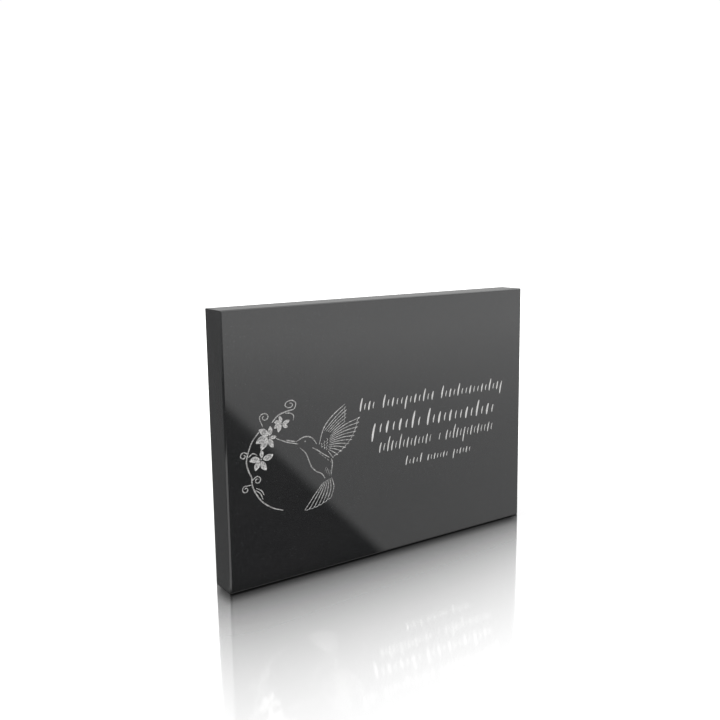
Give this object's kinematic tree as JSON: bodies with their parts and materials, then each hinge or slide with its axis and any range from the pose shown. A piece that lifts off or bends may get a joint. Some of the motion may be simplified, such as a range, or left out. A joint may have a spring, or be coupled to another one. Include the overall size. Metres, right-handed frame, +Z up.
{
  "type": "headstone",
  "caption": "Small flat headstone of polished black granite, its face carved with a hummingbird at a spray of blossoms and rows of slanted strokes.",
  "frame": {"origin": "middle of the underside, on the surface that the stone stands on", "axes": "+X along the width, to the right as the carved face is read, -Y out of the carved face, +Z up"},
  "size_m": [0.3556, 0.03, 0.254],
  "materials": {
    "polished_granite": "polished black granite, near mirror smooth, with very fine paler crystals, cuts a frosted light grey"
  },
  "bodies": {
    "root": {"headstone": "polished_granite"}
  },
  "joints": []
}
